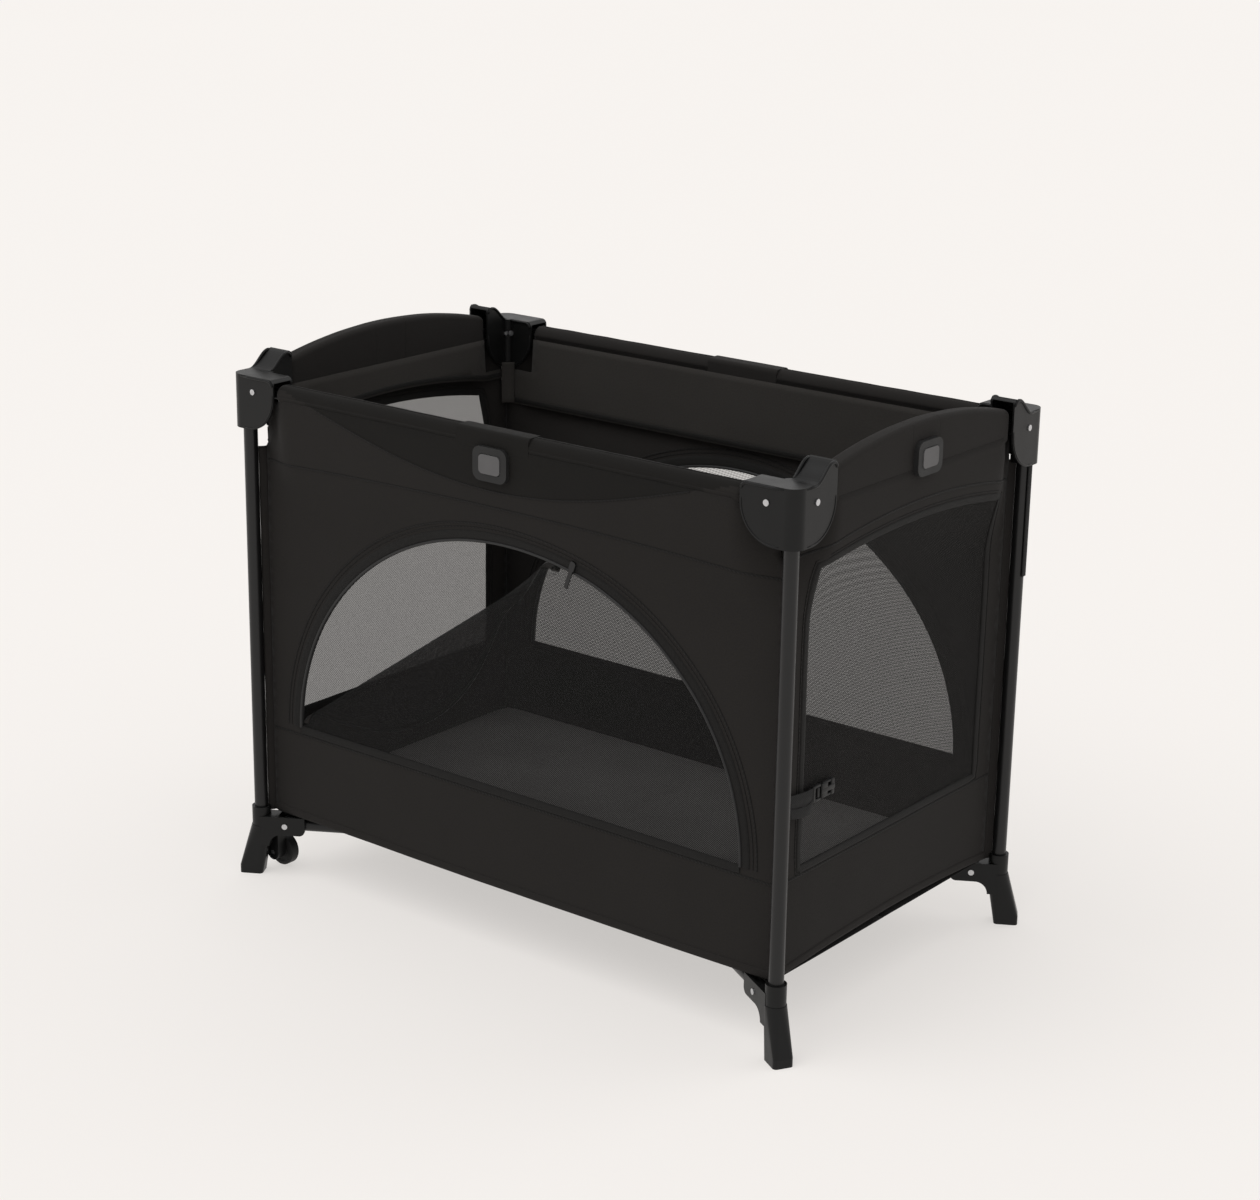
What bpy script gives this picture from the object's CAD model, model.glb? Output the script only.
"""Looks of the folding playpen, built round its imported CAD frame.

Metres, Z up, X along the long side, the door wall at -Y. A side has its own frame: s runs along the
side, d is the depth inwards from the plane of its top rail, and z is the height.
"""

import math

import bmesh
import bpy
import numpy as np
from mathutils import Matrix, Vector, noise
from mathutils.geometry import delaunay_2d_cdt


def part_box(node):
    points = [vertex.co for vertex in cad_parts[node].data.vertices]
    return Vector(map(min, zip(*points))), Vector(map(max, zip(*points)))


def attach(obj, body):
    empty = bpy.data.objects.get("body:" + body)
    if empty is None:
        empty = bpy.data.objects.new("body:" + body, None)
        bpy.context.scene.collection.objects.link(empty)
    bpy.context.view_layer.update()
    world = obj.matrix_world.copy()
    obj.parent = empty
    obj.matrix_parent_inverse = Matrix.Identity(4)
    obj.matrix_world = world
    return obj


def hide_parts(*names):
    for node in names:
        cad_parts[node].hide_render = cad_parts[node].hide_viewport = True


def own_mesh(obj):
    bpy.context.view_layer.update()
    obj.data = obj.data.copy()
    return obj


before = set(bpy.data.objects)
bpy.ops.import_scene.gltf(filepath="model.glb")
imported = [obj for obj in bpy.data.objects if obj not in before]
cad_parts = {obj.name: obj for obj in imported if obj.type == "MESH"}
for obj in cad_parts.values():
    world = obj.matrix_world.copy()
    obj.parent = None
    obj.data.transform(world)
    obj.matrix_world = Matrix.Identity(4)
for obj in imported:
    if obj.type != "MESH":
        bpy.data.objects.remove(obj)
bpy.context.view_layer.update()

# ---- sizes, from the frame ----


def middle(node):
    low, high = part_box(node)
    return (low + high) / 2


def reach(node, axis):
    """How far a node reaches from the pen's centre along an axis."""
    return max(abs(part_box(node)[0][axis]), abs(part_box(node)[1][axis]))


HALF_X, HALF_Y = abs(middle("post_tube_fr").x), abs(middle("post_tube_fr").y)
POST_R = (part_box("post_tube_fr")[1].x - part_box("post_tube_fr")[0].x) / 2
RAIL_Z = middle("rail_front_l").z
SLEEVE_R = (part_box("padding_front_l")[1].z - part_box("padding_front_l")[0].z) / 2
RAIL_R = (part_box("rail_front_l")[1].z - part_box("rail_front_l")[0].z) / 2
BRACKET_LOW, BRACKET_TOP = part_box("bracket_fr")[0].z, RAIL_Z + 0.022
BRACKET_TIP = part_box("bracket_fr")[1].z
BRACKET_HALF = reach("bracket_fr", 0) - HALF_X
BRACKET_REACH = HALF_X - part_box("bracket_fr")[0].x
WALL_W = {"front": reach("wall_front", 0), "right": reach("wall_right", 1)}
WALL_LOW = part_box("wall_front")[0].z
CREST_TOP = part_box("padding_right_f")[1].z
CREST_HALF = (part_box("padding_right_f")[1].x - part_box("padding_right_f")[0].x) / 2
PAD_LOW, PAD_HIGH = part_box("mattress_pad")
FLOOR_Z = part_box("floor_panel")[1].z

# ---- the cloth's own sizes ----

CLOTH_T = 0.0012
LONG_D = 0.0165  # depth of the long walls' cloth behind the rail plane
SHORT_D = 0.0148
TUCK_D = 0.0120  # depth of the cloth between a bracket's walls
SKIN_TOP = RAIL_Z - 0.005  # where a wall's outer skin runs into the rail's sleeve
SHOULDER_Z = BRACKET_LOW - 0.002
NICKED = ("front", "left")  # the sides with a gap between cloth and post, below the front left bracket
TUCK_TOP = RAIL_Z - RAIL_R - 0.003
FLARE_FROM, FLARE_TO = 0.56, 0.70  # the wall leans out to the sleeve between these heights
HEM_RISE = {True: -0.0035, False: 0.010}  # of a hem's middle over its ends; True is a long side
ARCH_W, ARCH_H, SILL_Z = 0.392, 0.350, 0.240  # the doorway's half width, its rise and its sill
# the doorway is unzipped from its left end up to just before the slider
OPEN_A = math.degrees(math.acos(-middle("zip_slider").x / ARCH_W)) - 2
WINDOW_W, WINDOW_TOP, WINDOW_RISE = 0.2125, 0.662, 0.020
SEAM_Z, INNER_SEAM_Z = 0.645, 0.631
END_SEAM_Z, SEAM_BOW, END_SEAM_BOW = 0.688, 0.013, 0.030
LENS_HALF, LENS_LOW, LENS_HIGH = 0.385, 0.669, 0.745  # the stretch panel at the front
TAPE_T, NARROW_TAPE_T, TEETH_T, STITCH_T, SKIRT_T, FLOOR_T = 0.0011, 0.0010, 0.0026, 0.0008, 0.0008, 0.0010
NET_SET_IN = 0.0002  # from the cloth's surface to the net sewn behind it
SIDE_GAP = 0.002  # between a bracket's end and the cloth that starts beside it
SLEEVE_GAP = 0.0015
CREST_RISE = 0.025
CREST_ROUND, COVER_ROUND, LOW_ROUND = 0.0075, 0.0065, 0.006  # edges of the padding's sections


def smooth(a, b, x):
    t = min(max((x - a) / (b - a), 0.0), 1.0)
    return t * t * (3 - 2 * t)


class Side:
    """One side of the pen: its frame, its wall's body and the body of each half rail."""

    def __init__(self, name, turn, wall_body, rails):
        self.name, self.wall_body, self.rails = name, wall_body, rails
        self.long = turn % 180 == 0
        self.half, self.off = (HALF_X, HALF_Y) if self.long else (HALF_Y, HALF_X)
        self.cos, self.sin = round(math.cos(math.radians(turn))), round(math.sin(math.radians(turn)))
        self.w = WALL_W["front" if self.long else "right"]
        self.depth = LONG_D if self.long else SHORT_D
        self.skin = -0.0141 if self.long else -CREST_HALF + 0.0003
        self.seed = turn

    def at(self, s, d, z):
        y = d - self.off
        return Vector((self.cos * s - self.sin * y, self.sin * s + self.cos * y, z))

    def cloth(self, s, z):
        """The depth of the wall's cloth: flat below, and out to the sleeve above, between the brackets."""
        between = smooth(self.half - 0.012, self.half - 0.080, abs(s))
        lean = between * smooth(FLARE_FROM, FLARE_TO, z)
        tuck = (1 - between) * smooth(SHOULDER_Z - 0.022, SHOULDER_Z + 0.002, z)
        slack = 0.0011 * noise.noise((4 * s, 5 * z, self.seed))
        slack += 0.0004 * noise.noise((19 * s, 15 * z, self.seed))
        flat = self.depth + (self.skin - self.depth) * lean
        return flat + (TUCK_D - flat) * tuck + slack * (1 - smooth(0.66, 0.72, z))

    def inner(self, s, z):
        """The depth of the inner skin, which hangs straight down from the sleeve's inner side."""
        return (SLEEVE_R if self.long else CREST_HALF) + 0.0022 * smooth(SKIN_TOP, INNER_SEAM_Z, z)

    def fold(self, piece):
        """The piece crumples along the side towards the post that it hangs on."""
        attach(piece, self.wall_body)
        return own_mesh(piece)


SIDES = {
    "front": Side("front", 0, "post_fr", ("rail_front_l", "rail_front_r")),
    "right": Side("right", 90, "post_br", ("rail_right_f", "rail_right_b")),
    "back": Side("back", 180, "post_bl", ("rail_back_r", "rail_back_l")),
    "left": Side("left", 270, "post_fl", ("rail_left_b", "rail_left_f")),
}
CORNERS = {"fl": (-1, -1), "fr": (1, -1), "br": (1, 1), "bl": (-1, 1)}

# ---- materials ----


class Shader:
    """A material's node tree, with short names for the nodes used here."""

    def __init__(self, name, colour, rough, **sockets):
        self.m = bpy.data.materials.new(name)
        self.m.use_nodes = True
        self.tree = self.m.node_tree
        self.bsdf = self.tree.nodes["Principled BSDF"]
        self.bsdf.inputs["Base Color"].default_value = (*colour, 1)
        self.bsdf.inputs["Roughness"].default_value = rough
        for key, value in sockets.items():
            self.bsdf.inputs[key.replace("_", " ")].default_value = value
        self.colour = colour

    def node(self, kind, inputs=None, **settings):
        n = self.tree.nodes.new("ShaderNode" + kind)
        for key, value in settings.items():
            setattr(n, key, value)
        for key, value in (inputs or {}).items():
            socket = n.inputs[key]
            if isinstance(value, bpy.types.NodeSocket):
                self.tree.links.new(value, socket)
            else:
                socket.default_value = value
        return n

    def math(self, operation, a, b=0.0):
        return self.node("Math", {0: a, 1: b}, operation=operation).outputs[0]

    def place(self, uv):
        return self.node("TexCoord").outputs["UV" if uv else "Object"]

    def noise(self, place, scale, detail=3.0):
        return self.node("TexNoise", {"Vector": place, "Scale": scale, "Detail": detail}).outputs["Fac"]

    def bands(self, place, scale, direction):
        n = self.node("TexWave", {"Vector": place, "Scale": scale}, bands_direction=direction)
        return n.outputs["Fac"]

    def vary(self, factor, share):
        """The base colour, from share darker to share lighter."""
        ramp = self.node("ValToRGB", {"Fac": factor})
        for element, k in zip(ramp.color_ramp.elements, (1 - share, 1 + share)):
            element.color = (*(min(c * k, 1) for c in self.colour), 1)
        ramp.color_ramp.elements[0].position, ramp.color_ramp.elements[1].position = 0.3, 0.7
        self.tree.links.new(ramp.outputs["Color"], self.bsdf.inputs["Base Color"])

    def rough_from(self, factor, low, high):
        n = self.node("MapRange", {"Value": factor, "To Min": low, "To Max": high})
        self.tree.links.new(n.outputs["Result"], self.bsdf.inputs["Roughness"])

    def bump(self, height, distance, strength=1.0, normal=None):
        inputs = {"Height": height, "Distance": distance, "Strength": strength}
        if normal is not None:
            inputs["Normal"] = normal
        out = self.node("Bump", inputs).outputs["Normal"]
        self.tree.links.new(out, self.bsdf.inputs["Normal"])
        return out


BAND_SCALE = 0.3142  # a wave texture of this scale has one band in a metre


def woven(name, colour, pitch=0.0012, rough=0.86, sheen=0.04, share=0.14, wrinkle=0.0010):
    """A plain weave: over-and-under threads, soft creases and a mottled colour."""
    k = Shader(name, colour, rough, Sheen_Weight=sheen, Sheen_Roughness=0.4, Specular_IOR_Level=0.12)
    place = k.place(True)
    scale = BAND_SCALE / pitch
    threads = k.math("MULTIPLY", k.bands(place, scale, "X"), k.bands(place, scale, "Y"))
    creases = k.noise(place, 9, 4)
    mottle = k.math("MULTIPLY", k.noise(place, 420, 2), 0.6)
    k.vary(k.math("ADD", mottle, k.math("MULTIPLY", creases, 0.4)), share)
    k.rough_from(creases, rough - 0.06, min(rough + 0.06, 1))
    k.bump(threads, pitch * 0.22, 0.5, k.bump(creases, wrinkle, 0.5))
    return k.m


def netting(name, colour, pitch=0.0021, open_share=0.38, veil=0.54, turn=45):
    """A knitted mesh: round holes in staggered rows. veil is the share of a hole that fine threads cover."""
    k = Shader(name, colour, 0.8, Specular_IOR_Level=0.1)
    place = k.place(True)
    rows = {"Vector": place, "Rotation": (0, 0, math.radians(turn)), "Scale": (1, 1.12, 1)}
    holes = {"Vector": k.node("Mapping", rows).outputs[0], "Scale": 1 / pitch, "Randomness": 0.0}
    cells = k.node("TexVoronoi", holes, voronoi_dimensions="2D")
    radius = math.sqrt(open_share / math.pi)
    edge = {"Value": cells.outputs["Distance"], "From Min": radius - 0.06, "From Max": radius + 0.06}
    solid = k.node("MapRange", {**edge, "To Min": veil, "To Max": 0.95}).outputs["Result"]
    k.vary(k.noise(place, 300, 2), 0.2)
    k.bump(cells.outputs["Distance"], 0.0004, 0.6)
    k.tree.links.new(solid, k.bsdf.inputs["Alpha"])
    return k.m


def webbing_cloth(name, colour, pitch=0.0016):
    """Ribbed tape or webbing: fine ribs along it, and a finer cross weave."""
    k = Shader(name, colour, 0.7, Sheen_Weight=0.03, Sheen_Roughness=0.4, Specular_IOR_Level=0.15)
    place = k.place(True)
    ribs = k.bands(place, BAND_SCALE / pitch, "DIAGONAL")
    cross = k.bands(place, BAND_SCALE / (pitch / 2), "X")
    k.vary(k.noise(place, 250, 2), 0.16)
    k.bump(k.math("ADD", ribs, k.math("MULTIPLY", cross, 0.5)), pitch * 0.25, 0.6)
    return k.m


def hard(name, colour, rough, mottle, gloss, grain, **sockets):
    """A hard surface with three noises, each given by its scale and detail and then by what it does.

    mottle ends with the share by which the colour varies, gloss with the range of the roughness, and
    grain with the depth and the strength of the bumps.
    """
    k = Shader(name, colour, rough, **sockets)
    place = k.place(False)
    k.vary(k.noise(place, *mottle[:2]), mottle[2])
    if gloss:
        k.rough_from(k.noise(place, *gloss[:2]), *gloss[2:])
    k.bump(k.noise(place, *grain[:2]), *grain[2:])
    return k.m


def moulded(name, colour, rough):
    """Moulded plastic: a fine spark-eroded grain and slightly uneven gloss."""
    gloss = (60, 4, rough - 0.07, rough + 0.09)
    return hard(name, colour, rough, (28, 3, 0.08), gloss, (1500, 2, 0.00012, 0.5), Specular_IOR_Level=0.22)


SHELL = woven("shell_cloth", (0.0165, 0.0150, 0.0140))
STRETCH = woven("stretch_cloth", (0.0085, 0.0078, 0.0070), pitch=0.0009, rough=0.78, share=0.08, wrinkle=0.0005)
LINING = woven("lining_cloth", (0.0340, 0.0315, 0.0290))
MATTRESS = woven("mattress_cloth", (0.240, 0.231, 0.226), pitch=0.0026, share=0.22, wrinkle=0.0008)
FLOOR_CLOTH = woven("floor_cloth", (0.012, 0.0115, 0.011), pitch=0.0014)
NET = netting("window_net", (0.013, 0.0125, 0.012))
DOOR_NET = netting("door_net", (0.009, 0.0088, 0.0085), turn=40)
BACK_NET = netting("back_net", (0.012, 0.012, 0.0115), pitch=0.0026, open_share=0.62, veil=0.26, turn=22)
TAPE = webbing_cloth("zip_tape", (0.0095, 0.0090, 0.0085))
STITCH = webbing_cloth("seam_thread", (0.0085, 0.0080, 0.0075), pitch=0.003)
WEBBING = webbing_cloth("strap_webbing", (0.012, 0.012, 0.012), pitch=0.0018)
TEETH = moulded("zip_teeth", (0.020, 0.020, 0.020), 0.35)
PLASTIC = moulded("black_plastic", (0.0060, 0.0061, 0.0061), 0.34)
BEZEL = moulded("bezel_plastic", (0.018, 0.018, 0.018), 0.5)
BUTTON = moulded("button_plastic", (0.098, 0.096, 0.097), 0.5)
TYRE = moulded("wheel_plastic", (0.008, 0.008, 0.008), 0.5)
# powder-coated steel with an orange-peel surface, bare zinc-plated steel, and board with a fibrous cover
peel = (700, 2, 0.00008, 0.5)
satin = {"Specular_IOR_Level": 0.32, "Coat_Weight": 0.1, "Coat_Roughness": 0.25}
COAT = hard("black_powder_coat", (0.006, 0.006, 0.0062), 0.33, (40, 3, 0.06), (90, 3, 0.28, 0.4), peel, **satin)
brushed, grain = (500, 4, 0.26, 0.46), (1200, 2, 0.00004, 0.4)
STEEL = hard("rivet_steel", (0.55, 0.55, 0.56), 0.34, (300, 3, 0.1), brushed, grain, Metallic=1.0)
BOARD = hard("covered_board", (0.020, 0.019, 0.018), 0.75, (220, 5, 0.22), (), (600, 3, 0.0001, 0.6))

# ---- mesh helpers ----


def make(name, points, faces, material, uvs=None, face_materials=None):
    """A smooth-shaded piece. uvs go by point, and face_materials by face, as numbers in the list material."""
    mesh = bpy.data.meshes.new(name)
    mesh.from_pydata([tuple(p) for p in points], [], [tuple(f) for f in faces])
    for m in material if isinstance(material, list) else [material]:
        mesh.materials.append(m)
    if face_materials is not None:
        mesh.polygons.foreach_set("material_index", face_materials)
    if uvs is not None:
        layer = mesh.uv_layers.new(name="UVMap")
        for loop in mesh.loops:
            layer.data[loop.index].uv = uvs[loop.vertex_index]
    mesh.polygons.foreach_set("use_smooth", [True] * len(mesh.polygons))
    mesh.update()
    piece = bpy.data.objects.new(name, mesh)
    bpy.context.scene.collection.objects.link(piece)
    return piece


def lattice(rows, count, around=True, loop=False, flip=False):
    """Quads between rows of count points. around closes each row, and loop joins the last row to the first."""
    faces = []
    for i in range(rows if loop else rows - 1):
        a, b = i * count, (i + 1) % rows * count
        for j in range(count if around else count - 1):
            k = (j + 1) % count
            faces.append((a + j, b + j, b + k, a + k) if flip else (a + j, a + k, b + k, b + j))
    return faces


def flat_strip(rows):
    """The faces of a strip with four corners to each row, closed at both ends."""
    last = 4 * (rows - 1)
    return [*lattice(rows, 4), (3, 2, 1, 0), (last, last + 1, last + 2, last + 3)]


def thicken(piece, thickness=CLOTH_T):
    piece.modifiers.new("thickness", "SOLIDIFY").thickness = thickness
    piece.modifiers["thickness"].offset = 0
    return piece


def within(points, loop):
    """Which of the points lie inside a closed loop."""
    x, y = points[:, :1], points[:, 1:]
    a = np.array(loop, float)
    b = np.roll(a, -1, axis=0)
    crosses = (a[:, 1] > y) != (b[:, 1] > y)
    at = a[:, 0] + (y - a[:, 1]) / np.where(a[:, 1] == b[:, 1], 1e-12, b[:, 1] - a[:, 1]) * (b[:, 0] - a[:, 0])
    return (crosses & (x < at)).sum(1) % 2 == 1


def cut(outline, holes=(), lines=(), cell=0.012):
    """A sheet's flat cut, as points and triangles: an outline, its holes, and lines that the edges follow."""
    points, edges = [], []
    for loop, closed in [(outline, True), *((h, True) for h in holes), *((line, False) for line in lines)]:
        first = len(points)
        points += [tuple(p) for p in loop]
        edges += [(first + i, first + i + 1) for i in range(len(loop) - 1)]
        if closed:
            edges.append((len(points) - 1, first))
    ring = np.array(points)
    low, high = ring.min(0), ring.max(0)
    rows = int((high[1] - low[1]) / (cell * 0.866))
    grid = np.array(
        [
            (low[0] + cell * (i + 0.5 * (j % 2)), low[1] + cell * 0.866 * j)
            for j in range(1, rows + 1)
            for i in range(int((high[0] - low[0]) / cell) + 1)
        ]
    ).reshape(-1, 2)
    inside = within(grid, outline)
    for h in holes:
        inside &= ~within(grid, h)
    grid = grid[inside]
    near = np.array([np.min(np.hypot(*(ring - p).T)) for p in grid]) if len(grid) else np.zeros(0)
    points += [tuple(p) for p in grid[near > cell * 0.45]]
    out = delaunay_2d_cdt([Vector(p) for p in points], edges, [], 0, 1e-7)
    flat, faces = np.array([tuple(v) for v in out[0]]), np.array([tuple(f) for f in out[2]])
    centres = flat[faces].mean(1)
    keep = within(centres, outline)
    for h in holes:
        keep &= ~within(centres, h)
    return flat, faces[keep]


def declare(piece, flat, faces, held, rests_on, parts=()):
    """Says what flat cut a piece of cloth was made from."""
    return piece


def panel(name, side, pattern, depth, material, pick=None, solid=True):
    """A flat cut bent to a side's surface. pick gives the material's number at a face's centre."""
    flat, faces = pattern
    points = [side.at(s, depth(s, z), z) for s, z in flat]
    numbers = [pick(s, z) for s, z in flat[faces].mean(1)] if pick else None
    piece = make(name, points, faces, material, flat, numbers)
    return thicken(piece) if solid else piece


def along(path):
    """The running length and the left-hand normal at each point of a path in the plane."""
    p = np.array(path, float)
    steps = np.hypot(*np.diff(p, axis=0).T)
    t = np.gradient(p, axis=0)
    t /= np.linalg.norm(t, axis=1)[:, None]
    return np.concatenate([[0], np.cumsum(steps)]), np.stack([-t[:, 1], t[:, 0]], axis=1)


TAPE_SECTION = ((-0.5, -0.4), (-0.46, 0.7), (-0.2, 1.0), (0.2, 1.0), (0.46, 0.7), (0.5, -0.4))


def tape(name, side, path, width, depth, material=None, offset=0.0, out=1, thick=0.0009):
    """A tape sewn along a path on a side's cloth; out is 1 on its outer face and -1 on its inner face."""
    lengths, normals = along(path)
    points, uvs = [], []
    for (s, z), run, n in zip(path, lengths, normals):
        for across, high in TAPE_SECTION:
            shift = offset + across * width
            q = (s + n[0] * shift, z + n[1] * shift)
            points.append(side.at(q[0], depth(*q) - out * (CLOTH_T / 2 + thick * high), q[1]))
            uvs.append((run, shift))
    count = len(TAPE_SECTION)
    faces = lattice(len(path), count, around=False, flip=True)
    if out < 0:
        faces = [f[::-1] for f in faces]
    return make(name, points, faces, material or TAPE, uvs)


def sweep(name, path, radius, material, closed=False, sides=8):
    """A round bead along a path, its ends rounded off."""
    p = np.array([tuple(q) for q in path], float)
    count = len(p)
    t = np.roll(p, -1, 0) - np.roll(p, 1, 0) if closed else np.gradient(p, axis=0)
    t /= np.linalg.norm(t, axis=1)[:, None]
    up = np.cross(t[0], (0.31, 0.27, 0.91))
    points, uvs, run = [], [], 0.0
    for i in range(count):
        up = up - t[i] * (up @ t[i])
        up /= np.linalg.norm(up)
        side_way = np.cross(t[i], up)
        r = radius if closed or 0 < i < count - 1 else radius * 0.45
        for j in range(sides):
            a = 2 * math.pi * j / sides
            points.append(p[i] + r * (math.cos(a) * up + math.sin(a) * side_way))
            uvs.append((run, radius * a))
        run += float(np.linalg.norm(p[(i + 1) % count] - p[i]))
    faces = lattice(count, sides, loop=closed)
    if not closed:
        faces += [tuple(range(sides))[::-1], tuple(range((count - 1) * sides, count * sides))]
    return make(name, points, faces, material, uvs)


def arc(centre, radius, start, end, steps):
    return [
        (centre[0] + radius * math.cos(a), centre[1] + radius * math.sin(a))
        for a in np.radians(np.linspace(start, end, steps + 1))
    ]


def line(a, b, steps):
    return [tuple(p) for p in np.linspace(a, b, steps + 1)]


def straight(corners, *steps):
    """A closed loop of straight edges, each in its own number of steps."""
    edges = zip(corners, corners[1:] + corners[:1], steps)
    return [q for a, b, n in edges for q in line(a, b, n)[:-1]]


def rectangle(x, y, steps):
    return straight([(-x, -y), (x, -y), (x, y), (-x, y)], *[steps] * 4)


def band_section(half, low, top, round_top, round_low):
    """The outline of a padded band across the side, as (d, z)."""
    ring = arc((half - round_low, low + round_low), round_low, -90, 0, 5)
    ring += arc((half - round_top, top - round_top), round_top, 0, 90, 7)
    ring += arc((round_top - half, top - round_top), round_top, 90, 180, 7)
    ring += arc((round_low - half, low + round_low), round_low, 180, 270, 5)
    return ring


def band(name, side, span, half, low, top, rounds, material, pick=None, lumpy=0.0004, ends=(0, 0)):
    """A padded band along a side over a span of s, with its ends rounded where ends says so.

    top is a height or a function of s, and rounds are the radii of its upper and lower edges.
    """
    start, end = span
    stations = np.linspace(start, end, max(8, int(abs(end - start) / 0.006)))
    inset, step = 0.004, 0.0012
    rings = [(s, 0.0) for s in stations]
    if ends[0]:
        rings = [(start, inset), (start + step, inset * 0.35), *rings[1:]]
    if ends[1]:
        rings = [*rings[:-1], (end - step, inset * 0.35), (end, inset)]
    points, uvs, count = [], [], 0
    for s, shrink in rings:
        t = top(s) if callable(top) else top
        section = band_section(half, low, t, *rounds)
        count = len(section)
        centre = np.array([0, (low + t) / 2])
        run = 0.0
        for j, q in enumerate(section):
            q = np.array(q)
            out = q - centre
            away = out / max(np.linalg.norm(out), 1e-6)
            bump = lumpy * noise.noise((28 * s, 60 * q[0] + side.seed, 45 * q[1]))
            q = q - away * shrink + away * bump
            points.append(side.at(s, q[0], q[1]))
            run += float(np.linalg.norm(q - np.array(section[j - 1]))) if j else 0.0
            uvs.append((s, run))
    faces = lattice(len(rings), count, flip=True)
    last, total = (len(rings) - 1) * count, len(points)
    points += points[:count] + points[last:]
    uvs += uvs[:count] + uvs[last:]
    faces += [tuple(range(total, total + count)), tuple(range(total + 2 * count - 1, total + count - 1, -1))]
    numbers = None
    if pick:
        spots = [np.mean([uvs[k] for k in f], axis=0) for f in faces]
        heights = [np.mean([points[k].z for k in f]) for f in faces]
        numbers = [pick(spot[0], z) for spot, z in zip(spots, heights)]
    return make(name, points, faces, material, uvs, numbers)


def soften(node, material, width=0.0012, segments=2):
    """Puts a material on a CAD node, and rounds its edges with modifiers."""
    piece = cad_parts[node]
    piece.data.materials.clear()
    piece.data.materials.append(material)
    if width:
        piece.modifiers.new("weld", "WELD").merge_threshold = 1e-6
        bevel = piece.modifiers.new("round", "BEVEL")
        bevel.width, bevel.segments = width, segments
        bevel.limit_method, bevel.angle_limit = "ANGLE", math.radians(38)
        piece.modifiers.new("shade", "WEIGHTED_NORMAL").keep_sharp = True
    return piece


# ---- the walls ----


def hem(side, s):
    """The height of a wall's lower edge, which is a shallow curve between the posts."""
    return WALL_LOW + HEM_RISE[side.long] * (1 - (s / side.w) ** 2)


def wall_outline(side):
    """From the hem up to the sleeve and into the brackets, with a nick beside each post."""
    shoulder = side.half - BRACKET_REACH - SIDE_GAP
    nick = side.w - (0.010 if side.name in NICKED else 0.003)
    right = [(side.w, SHOULDER_Z - 0.028), (nick, SHOULDER_Z - 0.018), (nick, SHOULDER_Z + 0.004)]
    right += [(nick - 0.003, TUCK_TOP), (shoulder + 0.004, TUCK_TOP), (shoulder, SKIN_TOP)]
    right = [q for a, b in zip(right, right[1:]) for q in line(a, b, 4)[:-1]] + [right[-1]]
    low = [(s, hem(side, s)) for s in np.linspace(-side.w, side.w, 61)]
    rise = line((side.w, hem(side, side.w)), right[0], 44)[1:-1]
    top = line((shoulder, SKIN_TOP), (-shoulder, SKIN_TOP), 60)[1:-1]
    return low + rise + right + top + [(-s, z) for s, z in right[::-1]] + [(-s, z) for s, z in rise[::-1]]


def arch_point(a, grow=0.0):
    a = math.radians(a)
    return (-(ARCH_W + grow) * math.cos(a), SILL_Z + (ARCH_H + grow) * math.sin(a))


def arch(start=0, end=180, grow=0.0, step=3):
    return [arch_point(a, grow) for a in np.linspace(start, end, round(abs(end - start) / step) + 1)]


def window():
    """An end wall's window: upright sides and a slightly arched top."""
    radius = (WINDOW_W**2 + WINDOW_RISE**2) / (2 * WINDOW_RISE)
    a = math.degrees(math.asin(WINDOW_W / radius))
    top = arc((0, WINDOW_TOP - radius), radius, 90 - a, 90 + a, 24)
    corner = top[0][1]
    ring = line((-WINDOW_W, SILL_Z), (WINDOW_W, SILL_Z), 30)
    ring += line((WINDOW_W, SILL_Z), (WINDOW_W, corner), 28)[1:-1]
    return ring + top + line((-WINDOW_W, corner), (-WINDOW_W, SILL_Z), 28)[1:-1]


def lens_z(s):
    """The lower edge of the stretch panel at the front: high beside the brackets and low in the middle."""
    t = min(abs(s) / LENS_HALF, 1.0)
    return LENS_LOW + (LENS_HIGH - LENS_LOW) * (t * t * (1.35 - 0.35 * t * t))


def seam_curve(side, z, bow):
    """A seam across a side, bowed upwards in the middle."""
    w = side.w - 0.004
    return [(s, z - bow + bow * (1 - (s / w) ** 2)) for s in np.linspace(-w, w, 61)]


def stitched(name, side, path, depth, width=0.0034, out=1, offset=0.0):
    """A row of stitching along a path."""
    return tape(name, side, path, width, depth, STITCH, offset, out, STITCH_T)


def face_name(out):
    return "outer" if out > 0 else "inner"


def hem_tape(side, out):
    """The turned-up edge of a wall."""
    width = 0.012
    path = [(s, hem(side, s) + width / 2) for s in np.linspace(-side.w + 0.001, side.w - 0.001, 61)]
    name = f"hem_{side.name}_{face_name(out)}"
    return tape(name, side, path, width, side.cloth, SHELL, 0, out, TAPE_T)


def skirt(side):
    """The strip that runs from a wall's hem in under the pen to the edge of its floor."""
    overlap, inward, behind, rows = 0.010, 0.022, 0.0016, 8
    points, uvs = [], []
    span = np.linspace(-side.w + 0.002, side.w - 0.002, 70)
    for s in span:
        high = hem(side, s) + overlap
        depth, drop = side.cloth(s, high) + behind, FLOOR_Z + 0.0006 - high
        for i in range(rows):
            t = i / (rows - 1)
            points.append(side.at(s, depth + inward * t, high + drop * math.sin(math.pi / 2 * t)))
            uvs.append((s, 0.03 * t))
    faces = lattice(len(span), rows, around=False, flip=True)
    piece = make(f"skirt_{side.name}", points, faces, FLOOR_CLOTH, uvs)
    return side.fold(thicken(piece, SKIRT_T))


def inner_edge(side, s):
    """The height of an inner skin's lower seam, which on a short side follows the window's top."""
    if side.long:
        return INNER_SEAM_Z
    return WINDOW_TOP + 0.009 + WINDOW_RISE * max(0.0, 1 - (s / WINDOW_W) ** 2)


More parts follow.
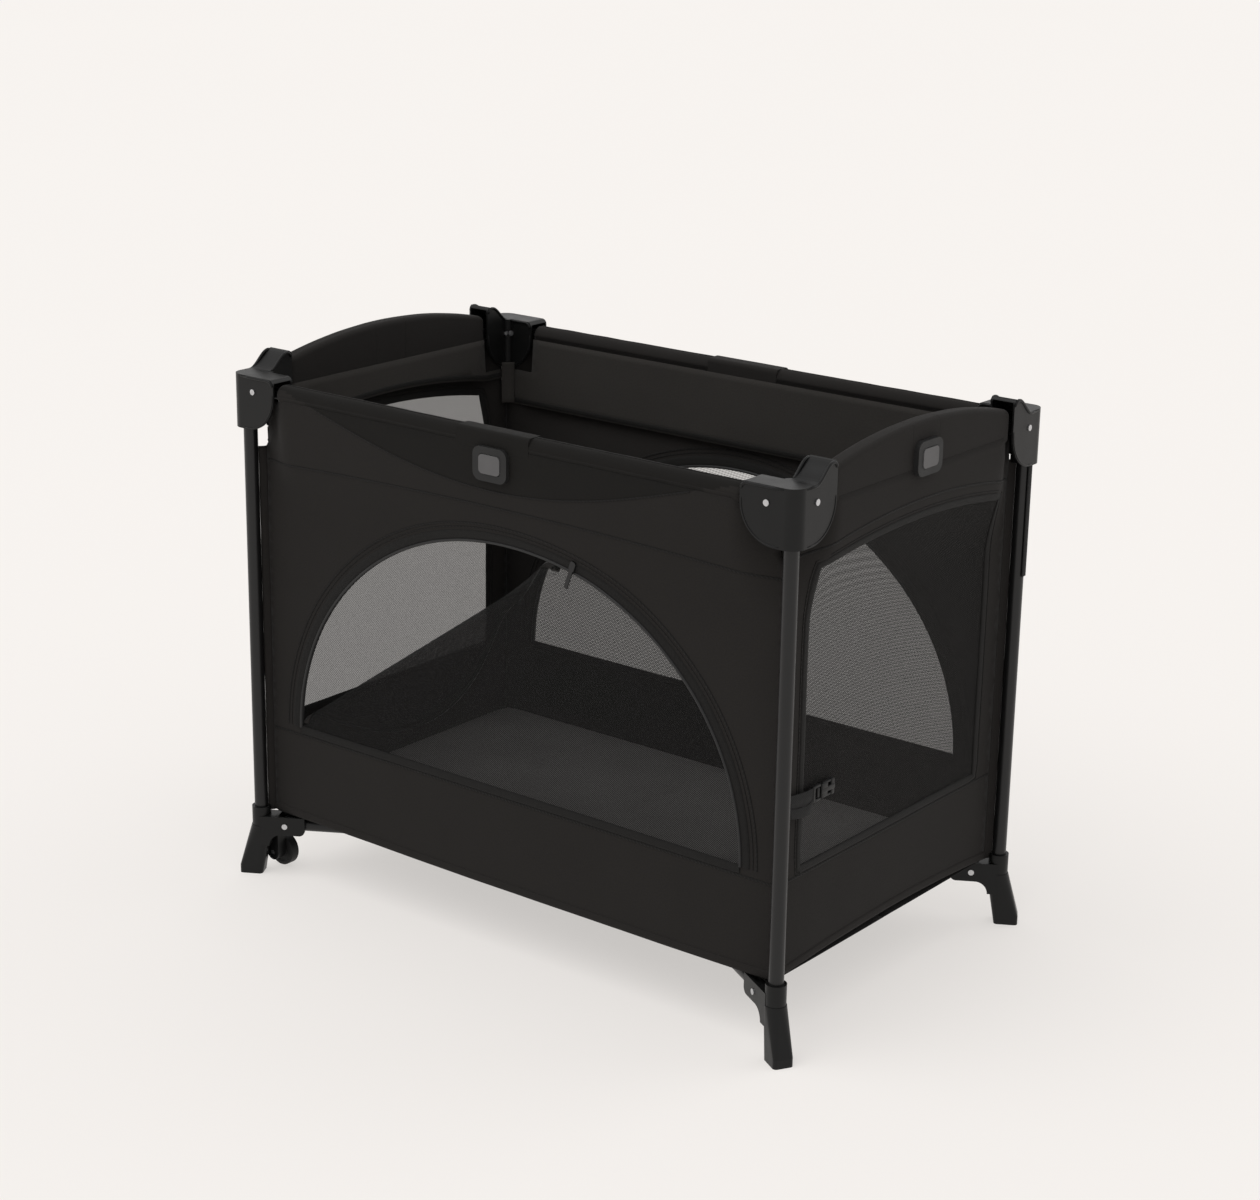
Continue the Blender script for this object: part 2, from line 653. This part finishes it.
def inner_skin(side):
    """The inner face of a wall's top, from the sleeve down to its seam."""
    shoulder = side.half - BRACKET_REACH - SIDE_GAP
    w = side.w - 0.004
    low = [(s, inner_edge(side, s) - 0.006) for s in np.linspace(-w, w, 41)]
    right = line((w, inner_edge(side, w) + 0.001), (w, SHOULDER_Z), 4)
    right += line((shoulder + 0.002, SHOULDER_Z), (shoulder, SKIN_TOP), 5)
    top = line((shoulder, SKIN_TOP), (-shoulder, SKIN_TOP), 40)[1:-1]
    ring = low + right + top + [(-s, z) for s, z in right[::-1]]
    pattern = cut(ring, cell=0.016)
    piece = panel(f"inner_skin_{side.name}", side, pattern, side.inner, LINING)
    path = [(s, inner_edge(side, s)) for s in np.linspace(w, -w, 61)]
    seam = tape(f"inner_seam_{side.name}", side, path, 0.007, side.inner, TAPE, 0, -1)
    for o in (piece, seam):
        side.fold(o)
    declare(piece, *pattern, "stretched", ["bracket_" + side.wall_body[-2:]], [seam])


def wall(side, hole, node, upper_seam, bow):
    """A fabric wall with its opening, hem, seams and the tapes round the opening."""
    front = side.name == "front"
    lens = [(s, lens_z(s)) for s in np.linspace(-LENS_HALF, LENS_HALF, 61) if lens_z(s) < SKIN_TOP - 0.002]
    pattern = cut(wall_outline(side), [hole], [lens] if front else [])
    pick = (lambda s, z: int(z > lens_z(s))) if front else None
    cloth = panel(f"cloth_{side.name}", side, pattern, side.cloth, [SHELL, STRETCH], pick)
    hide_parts(node)
    parts = [hem_tape(side, 1), hem_tape(side, -1)]
    parts.append(stitched(f"top_seam_{side.name}", side, seam_curve(side, upper_seam, bow), side.cloth))
    parts.append(stitched(f"sill_seam_{side.name}", side, seam_curve(side, SILL_Z - 0.012, 0), side.cloth))
    if front:
        parts.append(stitched("lens_seam", side, lens, side.cloth, 0.0026))
    for o in (cloth, *parts):
        side.fold(o)
    parts.append(skirt(side))
    inner_skin(side)
    return cloth, pattern, parts


def arch_tapes(side, out):
    """Two zip tapes, the teeth between them and a line of stitching, round an arched opening."""
    tag = f"{side.name}_{face_name(out)}"
    ring = arch(step=2)
    foot = [(-s, SILL_Z) for s in np.linspace(ARCH_W, -ARCH_W, 60)]
    pieces = [
        tape(f"zip_tape_{tag}", side, ring, 0.015, side.cloth, TAPE, 0.0085, out, TAPE_T),
        tape(f"zip_teeth_{tag}", side, ring, 0.0042, side.cloth, TEETH, 0.0010, out, TEETH_T),
        stitched(f"zip_stitch_{tag}", side, ring, side.cloth, 0.0016, out, 0.0205),
        stitched(f"zip_edge_{tag}", side, ring, side.cloth, 0.0030, out, 0.0265),
        tape(f"sill_tape_{tag}", side, foot, 0.012, side.cloth, TAPE, -0.004, out, TAPE_T),
    ]
    for o in pieces:
        side.fold(o)
    return pieces


def sew_net(name, side, pattern, material, cloth):
    """A net behind the opening of a wall's cloth."""
    def depth(s, z):
        return side.cloth(s, z) + NET_SET_IN

    net = side.fold(panel(name, side, pattern, depth, material, solid=False))
    declare(net, *pattern, "stretched", [cloth])


def long_wall(name, posts):
    """A long side's wall, with a zip round its arch."""
    side = SIDES[name]
    cloth, pattern, parts = wall(side, arch(), f"wall_{name}", SEAM_Z, SEAM_BOW)
    parts += arch_tapes(side, 1) + arch_tapes(side, -1)
    declare(cloth, *pattern, "stretched", [f"bracket_{k}" for k in posts], parts)
    if name == "back":
        sew_net("net_back", side, cut(arch(grow=0.003), cell=0.014), BACK_NET, "cloth_back")


def end_wall(name):
    """A short side's wall, with a net window."""
    side = SIDES[name]
    cloth, pattern, parts = wall(side, window(), f"wall_{name}", END_SEAM_Z, END_SEAM_BOW)
    ring = window()
    ring = ring + ring[:2]
    for out in (1, -1):
        tag = f"{name}_{face_name(out)}"
        edge = tape(f"window_binding_{tag}", side, ring, 0.011, side.cloth, TAPE, -0.0035, out, NARROW_TAPE_T)
        stitch = stitched(f"window_stitch_{tag}", side, ring, side.cloth, 0.0016, out, -0.012)
        parts += [side.fold(edge), side.fold(stitch)]
    declare(cloth, *pattern, "stretched", ["bracket_" + side.wall_body[-2:]], parts)
    sew_net(f"net_{name}", side, cut(window(), cell=0.014), NET, f"cloth_{name}")


# ---- the door ----

CHORD_A, CHORD_B = np.array(arch_point(0)), np.array(arch_point(OPEN_A))
CHORD = (CHORD_B - CHORD_A) / np.linalg.norm(CHORD_B - CHORD_A)
CHORD_OUT = np.array([-CHORD[1], CHORD[0]])
FLAP_BEND_R = 0.011
FLAP_TURN = 165  # degrees that the flap is folded over at its foot; it is less towards the slider


def flap_point(s, z):
    """Where a point of the unzipped corner lies once it is folded in over the chord."""
    rel = np.array([s, z]) - CHORD_A
    t, r = float(rel @ CHORD), max(float(rel @ CHORD_OUT), 0.0)
    share = t / np.linalg.norm(CHORD_B - CHORD_A)
    turn = FLAP_TURN - 75 * smooth(0.15, 0.60, share) - 22 * smooth(0.60, 0.95, share)
    turn = math.radians(turn)
    bend = min(r / FLAP_BEND_R, turn)
    up, inward = FLAP_BEND_R * math.sin(bend), FLAP_BEND_R * (1 - math.cos(bend))
    rest = max(r - FLAP_BEND_R * turn, 0.0)
    curl = 0.004 * math.sin(math.pi * share * 1.5) * smooth(0, 0.12, rest)
    up, inward = up + rest * math.cos(turn), inward + rest * math.sin(turn) + curl
    q = CHORD_A + CHORD * t + CHORD_OUT * up
    return q[0], q[1], inward


def door():
    """The mesh door, zipped into the arch on the right and folded in at its unzipped corner."""
    side = SIDES["front"]
    taut = [tuple(CHORD_A), *line((-ARCH_W, SILL_Z), (ARCH_W, SILL_Z), 50)[1:], *arch(180, OPEN_A)[1:]]
    taut += line(arch_point(OPEN_A), arch_point(0), 30)[1:-1]
    pattern = cut(taut, cell=0.014)
    net = panel("net_door", side, pattern, side.cloth, DOOR_NET, solid=False)
    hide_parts("door_panel")
    side.fold(net)
    declare(net, *pattern, "stretched", ["cloth_front"])

    corner = arch(0, OPEN_A) + line(arch_point(OPEN_A), arch_point(0), 40)[1:-1]
    flat, faces = cut(corner, cell=0.009)
    base = side.cloth(*((CHORD_A + CHORD_B) / 2))

    def folded(s, z, lift=0.0):
        """A flat point of the flap once folded, lifted off its surface."""
        a, b, inward = flap_point(s, z)
        return side.at(a, base + 0.001 + inward + lift, b)

    flap = make("net_flap", [folded(*p) for p in flat], faces, DOOR_NET, flat)
    side.fold(flap)
    edge = arch(1, OPEN_A - 1, step=2)
    rim = []
    for tag, material, grow, width, thick in (
        ("tape", SHELL, -0.006, 0.014, 0.0010),
        ("teeth", TEETH, 0.0, 0.004, 0.0016),
    ):
        lengths, normals = along(edge)
        points, uvs = [], []
        section = ((-0.5, -1), (-0.5, 1), (0.5, 1), (0.5, -1))
        for (s, z), run, n in zip(edge, lengths, normals):
            for across, high in section:
                shift = grow + across * width
                points.append(folded(s + n[0] * shift, z + n[1] * shift, high * thick))
                uvs.append((run, shift))
        rim.append(side.fold(make(f"flap_{tag}", points, flat_strip(len(edge)), material, uvs)))
    declare(flap, flat, faces, "hung", ["net_door"], rim)


# ---- rails: sleeves, crests and latch covers ----

COVER_SPLIT = {True: 0.0465, False: 0.0095}  # where a cover's middle ends
COVER_END = {True: 0.0618, False: 0.0316}


def crest(s):
    """The height of a short side's padding."""
    span = HALF_Y - BRACKET_REACH
    radius = (span**2 + CREST_RISE**2) / (2 * CREST_RISE)
    return CREST_TOP - radius + math.sqrt(radius**2 - s**2)


def sleeves(side):
    """The padding round the two half rails of a side."""
    low_z = RAIL_Z - SLEEVE_R
    for sign, rail in zip((-1, 1), side.rails):
        node = rail.replace("rail", "padding")
        axis = 0 if side.long else 1
        inner = min(abs(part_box(node)[0][axis]), abs(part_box(node)[1][axis]))
        span = sorted((sign * inner, sign * (side.half - BRACKET_REACH - SLEEVE_GAP)))
        ends = (1, 0) if sign < 0 else (0, 1)
        name = f"sleeve_{rail[5:]}"
        if side.long:
            pick = (lambda s, z: int(z > lens_z(s))) if side.name == "front" else None
            high_z, rounds, materials = RAIL_Z + SLEEVE_R, (SLEEVE_R, SLEEVE_R), [SHELL, STRETCH]
            piece = band(name, side, span, SLEEVE_R, low_z, high_z, rounds, materials, pick, ends=ends)
        else:
            piece = band(name, side, span, CREST_HALF, low_z, crest, (CREST_ROUND, LOW_ROUND), SHELL, ends=ends)
        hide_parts(node)
        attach(piece, rail)
        if not side.long:
            side.at(0, 0, low_z)
            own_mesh(piece)


def latch_cover(side):
    """The fabric over a latch: a middle, and a gusset at each end that gives way as the rails fold."""
    body = f"latch_{side.name}"
    split, end = COVER_SPLIT[side.long], COVER_END[side.long]
    rounds = (COVER_ROUND if side.long else CREST_ROUND, LOW_ROUND)
    top = RAIL_Z + SLEEVE_R if side.long else crest
    slim = SLEEVE_R if side.long else CREST_HALF
    base = RAIL_Z - SLEEVE_R
    for tag, a, b in (("middle", -split, split), ("gusset_a", -end, -split), ("gusset_b", split, end)):
        material = STRETCH if side.name == "front" else SHELL
        name = f"cover_{side.name}_{tag}"
        piece = band(name, side, (a, b), slim, base, top, rounds, material, lumpy=0.0002)
        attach(piece, body)
        if tag != "middle":
            side.at(0, 0, base)
            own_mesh(piece)
        elif not side.long:
            side.at(0, 0, base)
            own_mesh(piece)


# ---- hard parts ----


LIP_R, RIM_R = 0.0021, 0.0010


def lobe(rise):
    """A bracket arm's outline as two paths in its own plane: the lip along the top, and the rim below."""
    tip_r, low_r, inset = 0.008, 0.052, 0.0022
    reach_s = BRACKET_REACH - inset
    start = BRACKET_HALF
    steps = 12
    top = []
    for i in range(steps + 1):
        z = BRACKET_TOP - inset + rise * (1 - math.cos(math.pi * i / steps)) / 2
        top.append((start + (reach_s - tip_r - start) * i / steps, z))
    tip = arc((reach_s - tip_r, BRACKET_TOP + rise - inset - tip_r), tip_r, 80, 0, 5)
    side_z = BRACKET_LOW + low_r
    rim = [(reach_s, side_z + 0.004)] + arc((BRACKET_REACH - low_r, side_z), low_r - inset, 0, -90, 14)
    rim += [(BRACKET_REACH - low_r - 0.008, BRACKET_LOW + inset)]
    return [(0.002, BRACKET_TOP - inset), *top, *tip], rim


def brackets():
    """Raised lips and rims on the outer and inner faces of each bracket arm."""
    for corner, (x, y) in CORNERS.items():
        for arm, rise in (("long", 0.0), ("short", BRACKET_TIP - BRACKET_TOP)):
            lip, rim = lobe(rise)
            for face, d in (("outer", -BRACKET_HALF), ("inner", BRACKET_HALF)):
                for kind, path, radius in (("lip", lip, LIP_R), ("rim", rim, RIM_R)):
                    if face == "inner":
                        path = [q for q in path if q[0] > BRACKET_HALF + 0.006]
                    spots = []
                    for s, z in path:
                        along_x, along_y = (s, d) if arm == "long" else (d, s)
                        spots.append((x * (HALF_X - along_x), y * (HALF_Y - along_y), z))
                    name = f"bracket_{kind}_{corner}_{arm}_{face}"
                    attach(sweep(name, spots, radius, PLASTIC), f"post_{corner}")


def hard_parts():
    """Materials and rounded edges on the CAD nodes that show."""
    for k in CORNERS:
        soften(f"post_tube_{k}", COAT, 0.0006)
        soften(f"base_tube_{k}", COAT, 0.0005)
        soften(f"bracket_{k}", PLASTIC, 0.0011)
        soften(f"foot_{k}", PLASTIC, 0.0016, 3)
        soften(f"rivets_{k}", STEEL, 0.0006)
    for side in SIDES.values():
        for rail in side.rails:
            soften(rail, COAT, 0)
        soften(f"latch_{side.name}", BEZEL, 0.0014, 3)
        soften(f"button_{side.name}", BUTTON, 0.0018, 3)
    for node, material, width in (
        ("hub_plate", PLASTIC, 0.0012),
        ("hub_cap", PLASTIC, 0.001),
        ("hub_pins", STEEL, 0.0006),
        ("wheel_fl", TYRE, 0.0018),
        ("wheel_bl", TYRE, 0.0018),
        ("mattress_boards", BOARD, 0.0006),
        ("zip_slider", COAT, 0.0006),
    ):
        soften(node, material, width)


# ---- floor, mattress, straps ----


def floor_cloth():
    """The floor, in four quarters that crumple along their base tubes."""
    x_end, y_end = reach("floor_panel", 0), reach("floor_panel", 1)
    for corner, (x, y) in CORNERS.items():
        ring = straight([(0, 0), (x_end, 0), (x_end, y_end), (0, y_end)], 24, 14, 24, 14)
        flat, faces = cut(ring, cell=0.02)
        points = []
        for a, b in flat:
            waves = 0.0004 * noise.noise((12 * a, 12 * b, x + 2 * y))
            points.append((x * a, y * b, FLOOR_Z - 0.0009 + waves))
        if x * y < 0:
            faces = faces[:, ::-1]
        piece = make(f"floor_{corner}", points, faces, FLOOR_CLOTH, flat)
        thicken(piece, FLOOR_T)
        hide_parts("floor_panel")
        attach(piece, f"base_{corner}")
        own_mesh(piece)
        declare(piece, flat, faces, "stretched", [f"base_tube_{corner}"])


PANELS = 4  # of the mattress, between its folds


def mattress():
    """A quilted pad: crowned between its sewn folds, with a piped edge, resting flat on its boards."""
    x_end, y_end = PAD_HIGH.x, PAD_HIGH.y
    low, high = PAD_LOW.z, PAD_HIGH.z
    crown, round_r = high - low, 0.022
    nx, ny = 120, 70

    def corner_pull(a, b):
        """Keeps a point of the unit square inside the pad's rounded corners."""
        px, py = abs(a) * x_end, abs(b) * y_end
        ox, oy = px - (x_end - round_r), py - (y_end - round_r)
        if ox > 0 and oy > 0:
            k = max(ox, oy) / max(math.hypot(ox, oy), 1e-9)
            px, py = x_end - round_r + ox * k, y_end - round_r + oy * k
        return math.copysign(px, a), math.copysign(py, b)

    us, vs = (
        [math.sin(math.pi / 2 * u) * 0.35 + u * 0.65 for u in np.linspace(-1, 1, n + 1)] for n in (nx, ny)
    )
    width = 2 * x_end / PANELS

    def height(px, py):
        """The crowned top, with a groove at each fold."""
        edge = min(x_end - abs(px), y_end - abs(py))
        full = smooth(0, 0.020, edge)
        phase = (px + x_end) % width
        inner = x_end - abs(px) > 0.03
        groove = 0.0030 * math.exp(-((min(phase, width - phase) / 0.006) ** 2)) if inner else 0.0
        swell = 0.0016 * math.sin(math.pi * phase / width) * math.cos(math.pi / 2 * py / y_end)
        lumps = 0.0009 * noise.noise((7 * px, 7 * py, 3)) + 0.0005 * noise.noise((24 * px, 24 * py, 9))
        return high - 0.0030 - (1 - full) * crown * 0.32 - groove + (swell + lumps) * full

    def underside(px, py):
        """Flat on the boards, and rounded up at the edge."""
        return low + 0.004 * (1 - smooth(0, 0.012, min(x_end - abs(px), y_end - abs(py))))

    points, uvs = [], []
    for top in (True, False):
        for v in vs:
            for u in us:
                px, py = corner_pull(u, v)
                points.append((px, py, (height if top else underside)(px, py)))
                uvs.append((px, py))
    stride, layer = nx + 1, (nx + 1) * (ny + 1)
    faces = []
    for j in range(ny):
        for i in range(nx):
            a = j * stride + i
            quad = (a, a + 1, a + 1 + stride, a + stride)
            faces += [quad, tuple(layer + q for q in quad[::-1])]
    ring = [*range(nx)] + [nx + stride * j for j in range(ny)]
    ring += [layer - 1 - i for i in range(nx)] + [stride * (ny - j) for j in range(ny)]
    for a, b in zip(ring, ring[1:] + ring[:1]):
        faces.append((b, a, layer + a, layer + b))
    pad = make("mattress_pad_quilted", points, faces, MATTRESS, uvs)
    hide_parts("mattress_pad")
    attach(pad, "mattress")
    edge = [Vector(points[k]) for k in ring]
    path = [Vector((p.x * 0.9995, p.y * 0.9995, high - 0.0118)) for p in edge]
    piping = sweep("mattress_piping", path, 0.0016, MATTRESS, closed=True)
    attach(piping, "mattress")


STRAP_T = 0.0014


def strap(name, path, width, body, across, material=None):
    """A flat strap along a path of points, with its width in the direction across."""
    p = np.array([tuple(q) for q in path], float)
    t = np.gradient(p, axis=0)
    t /= np.linalg.norm(t, axis=1)[:, None]
    across = np.array(across, float)
    points, uvs, run = [], [], 0.0
    for i in range(len(p)):
        face = np.cross(t[i], across)
        face /= np.linalg.norm(face)
        for a, b in ((-0.5, -0.5), (0.5, -0.5), (0.5, 0.5), (-0.5, 0.5)):
            points.append(p[i] + across * a * width + face * b * STRAP_T)
            uvs.append((run, a * width))
        run += float(np.linalg.norm(p[min(i + 1, len(p) - 1)] - p[i]))
    piece = make(name, points, flat_strip(len(p)), material or WEBBING, uvs)
    bevel = piece.modifiers.new("round", "BEVEL")
    bevel.width, bevel.segments = 0.0004, 1
    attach(piece, body)
    return piece


def spline(points, count):
    """A smooth path through the points."""
    p = np.array(points, float)
    p = np.vstack([2 * p[0] - p[1], p, 2 * p[-1] - p[-2]])
    out = []
    for t in np.linspace(0, len(points) - 1 - 1e-9, count):
        i, f = int(t), t - int(t)
        a, b, c, d = p[i : i + 4]
        bend, twist = 2 * a - 5 * b + 4 * c - d, 3 * b - a - 3 * c + d
        out.append(0.5 * (2 * b + (c - a) * f + bend * f**2 + twist * f**3))
    return out


def block(size, at, radius=0.0012):
    """The corners and faces of a box with rounded edges, to be joined with others."""
    bm = bmesh.new()
    bmesh.ops.create_cube(bm, size=1.0)
    bmesh.ops.scale(bm, vec=size, verts=bm.verts)
    bmesh.ops.bevel(bm, geom=bm.edges[:], offset=radius, segments=3, profile=0.6, affect="EDGES")
    bmesh.ops.translate(bm, vec=at, verts=bm.verts)
    points = [tuple(v.co) for v in bm.verts]
    faces = [tuple(v.index for v in f.verts) for f in bm.faces]
    bm.free()
    return points, faces


def joined(name, blocks, material):
    """One piece from several blocks."""
    points, faces = [], []
    for p, f in blocks:
        faces += [tuple(len(points) + k for k in face) for face in f]
        points += p
    return make(name, points, faces, material)


def tie_strap():
    """The strap that ties the folded pen: webbing from behind the post, and its side-release buckle."""
    low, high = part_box("tie_buckle")
    centre = (low + high) / 2
    x, length, height, depth = centre.x, high.y - low.y, high.z - low.z, high.x - low.x
    body = "post_fr"

    def blocks(start, rows):
        """Blocks as shares of the buckle: depth, length and height, and the places along and above it."""
        out = []
        for d, w, h, along_y, up, radius in rows:
            at = (x, start + length * along_y, centre.z + height * up)
            out.append(block((depth * d, length * w, height * h), at, radius))
        return out

    grip, rail, tongue = 0.0018, 0.0012, 0.36
    parts = blocks(centre.y, [(0.92, 1 - tongue, 0.30, tongue / 2, 0, 0.0014)])
    parts += blocks(high.y, [(0.70, 0.16, 1, -0.08, 0, grip)])
    parts += blocks(centre.y, [(0.86, 0.30, 0.86, 0.02, 0, 0.0022)])
    parts += blocks(centre.y, [(0.5, 0.40, 0.14, 0.16, up, rail) for up in (0.41, -0.41)])
    socket = joined("buckle_socket", parts, PLASTIC)
    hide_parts("tie_buckle")
    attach(socket, body)
    ends = blocks(low.y, [(0.62, 0.12, 1, 0.06, 0, grip)])
    ends += blocks(low.y, [(0.62, 0.30, 0.16, 0.20, up, rail) for up in (0.42, -0.42)])
    ends += blocks(low.y, [(0.55, 0.12, 0.62, 0.27, 0, grip)])
    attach(joined("buckle_tongue", ends, PLASTIC), body)
    post_y = -HALF_Y
    near, far = low.y - 0.016, low.y + 0.002
    tie = ((-0.001, post_y + 0.010, 0.006), (0.001, post_y + 0.030, 0.004))
    tie += ((0.002, near, 0.001), (0.001, far, 0))
    near, far = low.y - 0.014, low.y + 0.001
    tail = ((-0.001, post_y + 0.012, -0.004), (0.002, post_y + 0.034, -0.012))
    tail += ((0.003, near, -0.016), (0.001, far, -0.010))
    for name, width, rows in (("tie_strap", 0.019, tie), ("tie_strap_tail", 0.014, tail)):
        route = [(x + a, y, centre.z + b) for a, y, b in rows]
        strap(name, spline(route, 16), width, body, (0, 0, 1))


def corner_welt(corner, x, y):
    """The strip of cloth that joins the two walls of a corner to its post."""
    at_post = POST_R * 0.72
    wall_x, wall_y = SIDES["front"].half - SIDES["front"].w, LONG_D
    low_z = WALL_LOW + 0.0005
    high_z = SHOULDER_Z - 0.028 if corner == "fl" else BRACKET_LOW + 0.004
    points, uvs, count = [], [], 7
    heights = np.linspace(low_z, high_z, 90)
    for z in heights:
        for t in np.linspace(0, 1, count):
            wave = 0.0005 * noise.noise((30 * z, 3 * t, x + 2 * y)) + 0.0012 * math.sin(math.pi * t)
            a = at_post + (wall_x + 0.001 - at_post) * t + wave
            b = at_post + (wall_y + 0.001 - at_post) * t - wave
            points.append((x * (HALF_X - a), y * (HALF_Y - b), z))
            uvs.append((0.012 * t, z))
    faces = lattice(len(heights), count, around=False)
    welt = thicken(make(f"corner_welt_{corner}", points, faces, SHELL, uvs))
    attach(welt, f"post_{corner}")


def corner_details():
    """A welt and a fabric tab at each corner, and the pull tape on the back right post."""
    for corner, (x, y) in CORNERS.items():
        corner_welt(corner, x, y)
        inset = 0.026
        route = [
            (x * (HALF_X - inset), y * (HALF_Y - inset), BRACKET_LOW + 0.010),
            (x * (HALF_X - inset + 0.001), y * (HALF_Y - inset + 0.001), BRACKET_LOW - 0.016),
            (x * (HALF_X - inset - 0.001), y * (HALF_Y - inset - 0.001), INNER_SEAM_Z - 0.004),
        ]
        across = Vector((x, -y, 0)).normalized()
        tab, path = f"corner_tab_{corner}", spline(route, 12)
        strap(tab, path, 0.020, f"post_{corner}", across, LINING)
    x = HALF_X + POST_R + 0.0011
    route = [(x, HALF_Y, BRACKET_LOW + 0.004), (x, HALF_Y, 0.62), (x, HALF_Y, 0.52)]
    strap("post_tape", spline(route, 14), 0.010, "post_br", (0, 1, 0))


def pull_strap():
    """The webbing pull under the mattress, which starts the fold."""
    low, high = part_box("pull_strap")
    z = (low.z + high.z) / 2
    slot_x, slot_y = 0.047, 0.012
    flat, faces = cut(rectangle(high.x, high.y, 12), [rectangle(slot_x, slot_y, 8)], cell=0.008)
    piece = thicken(make("pull_webbing", [(a, b, z) for a, b in flat], faces, WEBBING, flat))
    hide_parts("pull_strap")
    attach(piece, "hub")
    declare(piece, flat, faces, "laid", ["floor_fl"])


# ---- the studio ----


def direction(az, el):
    """A unit vector from an azimuth, which is 0 towards -Y, and a height angle."""
    return Vector((math.sin(az) * math.cos(el), -math.cos(az) * math.cos(el), math.sin(el)))


def studio():
    """A pale floor that gives off part of its light, so that shadows on it stay faint, and two soft lamps."""
    k = Shader("studio_floor", (0.36, 0.348, 0.337), 0.95, Specular_IOR_Level=0.0, Emission_Strength=0.545)
    k.bsdf.inputs["Emission Color"].default_value = (1.0, 0.967, 0.936, 1)
    k.vary(k.noise(k.place(False), 0.4, 1), 0.004)
    r = 60
    make("studio_floor", [(-r, -r, 0), (r, -r, 0), (r, r, 0), (-r, r, 0)], [(0, 1, 2, 3)], k.m)
    world = bpy.data.worlds.new("studio")
    world.use_nodes = True
    sky = world.node_tree.nodes["Background"].inputs
    sky["Color"].default_value, sky["Strength"].default_value = (1.0, 0.988, 0.980, 1), 0.74
    bpy.context.scene.world = world
    for name, energy, angle, az, el in (("key", 1.0, 50, -28, 58), ("rim", 0.35, 40, 150, 40)):
        lamp = bpy.data.lights.new(name, "SUN")
        lamp.energy, lamp.angle = energy, math.radians(angle)
        o = bpy.data.objects.new(name, lamp)
        az, el = math.radians(az), math.radians(el)
        away = direction(az, el)
        o.rotation_mode = "QUATERNION"
        o.rotation_quaternion = away.to_track_quat("Z", "Y")
        bpy.context.scene.collection.objects.link(o)
    bpy.context.scene.view_settings.view_transform = "Standard"


def camera():
    """The camera, front right and a little above."""
    az, el, roll = math.radians(37.96), math.radians(17.48), math.radians(0.93)
    back = direction(az, el)
    flat_right = Vector((math.cos(az), math.sin(az), 0))
    flat_up = back.cross(flat_right)
    right = flat_right * math.cos(roll) + flat_up * math.sin(roll)
    up = back.cross(right)
    data = bpy.data.cameras.new("camera")
    data.lens, data.sensor_width = 74.19, 36
    cam = bpy.data.objects.new("camera", data)
    turn = Matrix((right, up, back)).transposed().to_4x4()
    cam.matrix_world = Matrix.Translation((2.1567, -2.7588, 1.5557)) @ turn
    bpy.context.scene.collection.objects.link(cam)
    bpy.context.scene.camera = cam


# ---- the pen ----

long_wall("front", ("fr", "fl"))
long_wall("back", ("br", "bl"))
for end in ("right", "left"):
    end_wall(end)
door()
for s in SIDES.values():
    sleeves(s)
    latch_cover(s)
hard_parts()
brackets()
floor_cloth()
mattress()
pull_strap()
tie_strap()
corner_details()
studio()
camera()
